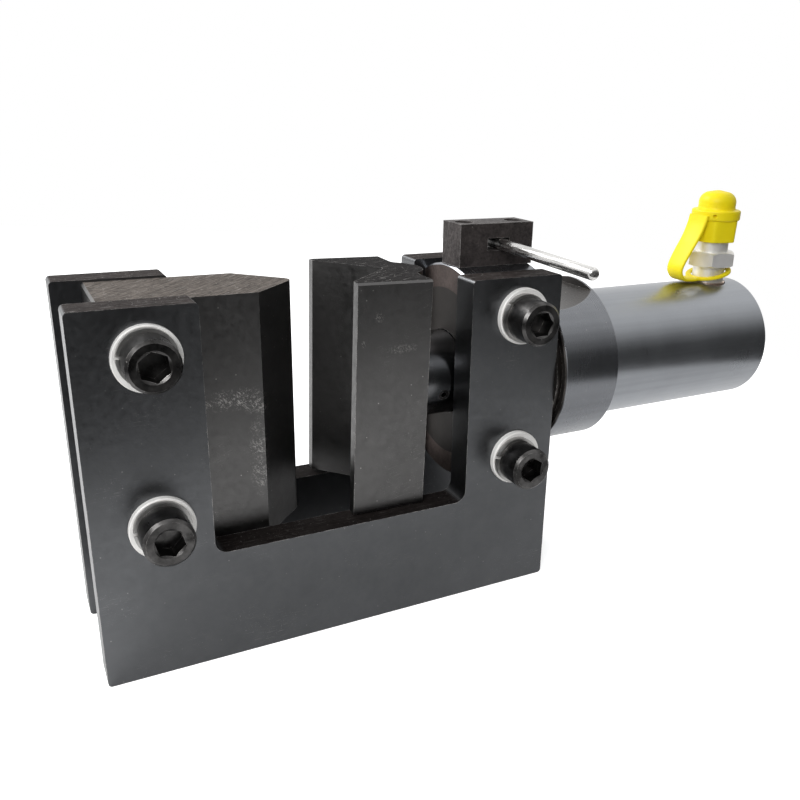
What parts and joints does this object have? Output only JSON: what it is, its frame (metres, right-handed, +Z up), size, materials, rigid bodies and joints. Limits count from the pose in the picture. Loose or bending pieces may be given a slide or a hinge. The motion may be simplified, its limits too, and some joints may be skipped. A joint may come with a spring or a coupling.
{
  "type": "hydraulic bar bender",
  "caption": "Bench tool that folds flat metal bar: side plates with a deep notch, a fixed wedge die, a grooved die on a hydraulic ram, and a capped hose coupler.",
  "frame": {"origin": "Middle of the tool's whole box, on the plane of the side plates' undersides, on which it stands. The ram's axis and the mid-plane between the plates lie at y = +18.6 mm, because the lever stands out to the front.", "axes": "+X along the ram's axis, from the fixed wedge towards the cylinder's closed end; +Y across the side plates, from the front plate with the lever's tip towards the rear plate; +Z up, towards the open top of the notch"},
  "size_m": [0.3958, 0.1573, 0.207],
  "materials": {
    "plate_steel": "ground steel plate with a thin dark oxide, satin",
    "die_steel": "hardened tool steel, ground, dark oxide with bright wear",
    "ground_steel": "ground steel",
    "polished_steel": "polished steel rod",
    "cylinder_black": "turned steel, glossy black oxide",
    "black_oxide": "black oxide screws",
    "zinc": "bright zinc plating",
    "spring_steel": "spring steel, oiled",
    "bronze": "bearing bronze",
    "copper": "copper sealing ring",
    "rubber": "black nitrile rubber",
    "seal_polyurethane": "polyurethane",
    "yellow_rubber": "smooth yellow vinyl rubber"
  },
  "bodies": {
    "frame": {"front_plate": "plate_steel", "rear_plate": "plate_steel", "fixed_die": "die_steel", "cylinder_head": "cylinder_black", "cylinder_tube": "cylinder_black", "stop_sleeve": "ground_steel", "wiper_ring": "seal_polyurethane", "guide_bush": "bronze", "tube_o_ring": "rubber", "spring_rear_anchor": "ground_steel", "return_spring": "spring_steel", "frame_screws": "black_oxide", "flat_washers": "zinc", "spring_washers": "spring_steel", "pin_block": "die_steel", "block_screws": "black_oxide", "lever_pin": "ground_steel", "coupler_body": "zinc", "coupler_seal": "copper", "coupler_retainer": "ground_steel", "coupler_spring": "spring_steel", "nipple_o_ring": "rubber", "cap_strap": "yellow_rubber"},
    "ram_group": {"ram": "ground_steel", "moving_die": "die_steel", "die_set_screw": "black_oxide", "piston_seal": "seal_polyurethane", "piston_guide_ring": "bronze", "spring_front_anchor": "ground_steel"},
    "lever": {"lever": "polished_steel"},
    "cap": {"dust_cap": "yellow_rubber"},
    "valve": {"coupler_poppet": "ground_steel"}
  },
  "joints": [
    {"name": "ram_slide", "type": "slide", "parent": "frame", "child": "ram_group", "axis": [-1, 0, 0], "range_m": [0, 0.038], "stiffness_N_per_m": 2500, "springref_m": -0.02, "deforming": ["return_spring"]},
    {"name": "lever_swing", "type": "hinge", "parent": "frame", "child": "lever", "pos_m": [0.01845, 0.0186, 0.1835], "axis": [0, 0, 1], "range_deg": [-16, 11]},
    {"name": "cap_lift", "type": "slide", "parent": "frame", "child": "cap", "axis": [0, 0, 1], "range_m": [0, 0.018], "deforming": ["cap_strap"]},
    {"name": "valve_slide", "type": "slide", "parent": "frame", "child": "valve", "axis": [0, 0, -1], "range_m": [0, 0.004], "stiffness_N_per_m": 800, "springref_m": -0.004, "deforming": ["coupler_spring"]}
  ]
}
